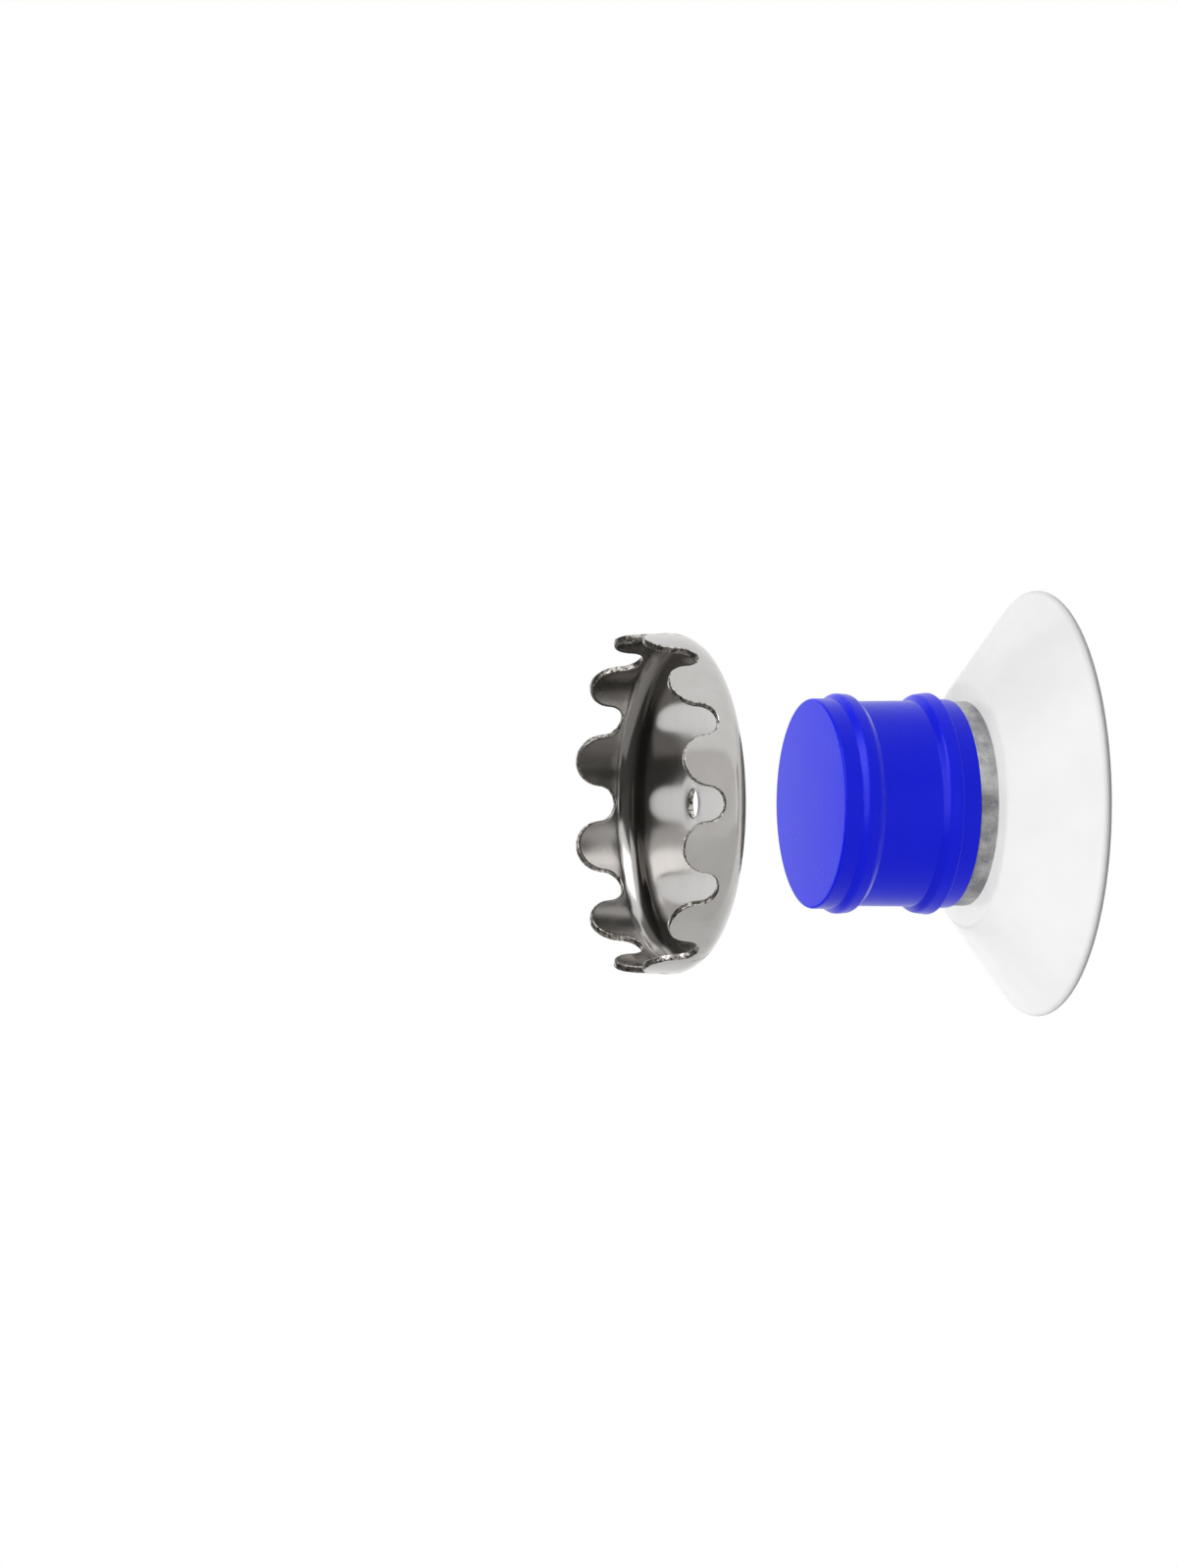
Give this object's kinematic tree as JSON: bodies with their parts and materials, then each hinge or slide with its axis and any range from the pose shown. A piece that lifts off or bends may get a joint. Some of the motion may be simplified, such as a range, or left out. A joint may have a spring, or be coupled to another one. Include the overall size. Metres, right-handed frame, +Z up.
{
  "type": "magnetic soap holder",
  "caption": "Wall-mounted magnetic holder for a bar of soap: a suction cup carries a rubber-covered magnet, which holds a toothed steel cap that is pressed into the soap.",
  "frame": {"origin": "centre of the suction cup's mouth, on the wall's surface", "axes": "+Y along the axis of every piece, into the wall; +Z up; -Y out into the room, towards the soap"},
  "size_m": [0.05, 0.0512, 0.05],
  "materials": {
    "clear_vinyl": "soft translucent PVC, smooth",
    "zinc_steel": "matt zinc plate",
    "nickel": "nickel plate",
    "black_plastic": "moulded",
    "blue_rubber": "satin, moulded",
    "stainless": "polished, drawn"
  },
  "bodies": {
    "wall_holder": {"suction_cup": "clear_vinyl", "stud_bolt": "zinc_steel", "magnet_pot": "zinc_steel", "magnet_disc": "nickel", "magnet_ring": "black_plastic", "grip_cover": "blue_rubber"},
    "crown": {"crown_cap": "stainless"}
  },
  "joints": [
    {"name": "crown_slide", "type": "slide", "parent": "wall_holder", "child": "crown", "axis": [0, 1, 0], "range_m": [0, 0.0137]}
  ]
}
